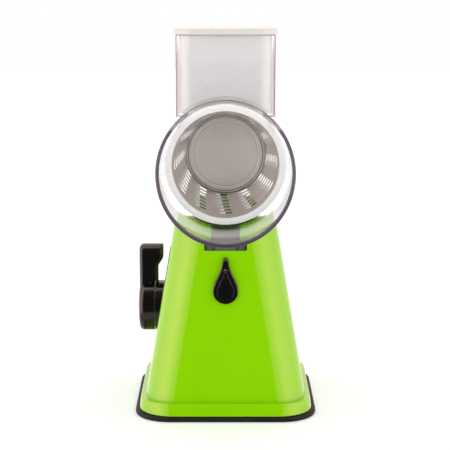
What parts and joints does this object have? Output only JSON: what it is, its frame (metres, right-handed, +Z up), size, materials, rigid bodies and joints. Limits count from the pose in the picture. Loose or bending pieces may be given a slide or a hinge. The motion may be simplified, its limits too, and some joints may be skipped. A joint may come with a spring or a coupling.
{
  "type": "hand-cranked vegetable grater",
  "caption": "Hand-cranked drum grater: a clear barrel and hopper with a pusher on a tapered stand, held to the table by a lever-worked suction pad.",
  "frame": {"origin": "centre of the suction pad's flat underside, on the table", "axes": "+Z up; -Y is the front, where the barrel's mouth opens; +Y is the back, where the crank is; -X is the suction lever's side"},
  "size_m": [0.1368, 0.2324, 0.29],
  "materials": {
    "green_plastic": "smooth moulded, lime green",
    "black_plastic": "satin moulded, black",
    "white_plastic": "smooth moulded, off-white",
    "clear_plastic": "clear moulded",
    "black_rubber": "soft, dark",
    "sheet_steel": "rolled stainless sheet",
    "turned_steel": "turned, bright"
  },
  "bodies": {
    "stand": {"stand_body": "green_plastic", "base_tray": "green_plastic", "suction_pad": "black_rubber", "post_guide": "black_plastic", "lever_bush": "black_plastic", "far_bush": "black_plastic", "latch_bracket": "black_plastic", "base_screw_1": "turned_steel", "base_screw_2": "turned_steel", "base_screw_3": "turned_steel", "base_screw_4": "turned_steel", "guide_screw_1": "turned_steel", "guide_screw_2": "turned_steel", "guide_screw_3": "turned_steel", "bracket_screw_1": "turned_steel", "bracket_screw_2": "turned_steel", "latch_spring": "turned_steel", "barrel_hopper": "clear_plastic", "rear_bush": "black_plastic"},
    "lever": {"suction_lever": "black_plastic", "lever_screw": "turned_steel", "cam_shaft": "turned_steel", "suction_cam": "white_plastic", "shaft_clip": "turned_steel"},
    "post": {"suction_post": "white_plastic", "lift_pin": "turned_steel"},
    "latch": {"release_button": "black_plastic", "latch": "white_plastic"},
    "pusher": {"pusher_body": "white_plastic", "pusher_cap": "white_plastic"},
    "drum": {"drum_shell": "sheet_steel", "drum_front_ring": "white_plastic", "drum_back_disc": "sheet_steel", "drum_hub": "white_plastic"},
    "crank": {"crank_shaft": "turned_steel", "crank_arm": "black_plastic", "crank_screw": "turned_steel", "crank_cap": "black_plastic", "knob_pin": "turned_steel"},
    "knob": {"crank_knob": "black_plastic"}
  },
  "joints": [
    {"name": "lever_turn", "type": "hinge", "parent": "stand", "child": "lever", "pos_m": [0, 0, 0.0744], "axis": [-1, 0, 0], "range_deg": [0, 90]},
    {"name": "suction_pull", "type": "slide", "parent": "stand", "child": "post", "axis": [0, 0, 1], "range_m": [0, 0.0036], "deforming": ["suction_pad"]},
    {"name": "latch_slide", "type": "slide", "parent": "stand", "child": "latch", "axis": [0, 0, -1], "range_m": [0, 0.005], "stiffness_N_per_m": 300, "springref_m": -0.006, "deforming": ["latch_spring"]},
    {"name": "pusher_slide", "type": "slide", "parent": "stand", "child": "pusher", "axis": [0, 0, 1], "range_m": [0, 0.1]},
    {"name": "drum_turn", "type": "hinge", "parent": "stand", "child": "drum", "pos_m": [0, 0, 0.194], "axis": [0, 1, 0], "continuous": true},
    {"name": "crank_pull", "type": "slide", "parent": "drum", "child": "crank", "axis": [0, 1, 0], "range_m": [0, 0.03]},
    {"name": "knob_spin", "type": "hinge", "parent": "crank", "child": "knob", "pos_m": [0, 0.0725, 0.11], "axis": [0, 1, 0], "continuous": true}
  ],
  "couplings": [
    {"joint": "suction_pull", "follows": "lever_turn", "m_per_rad": 0.0022282}
  ]
}
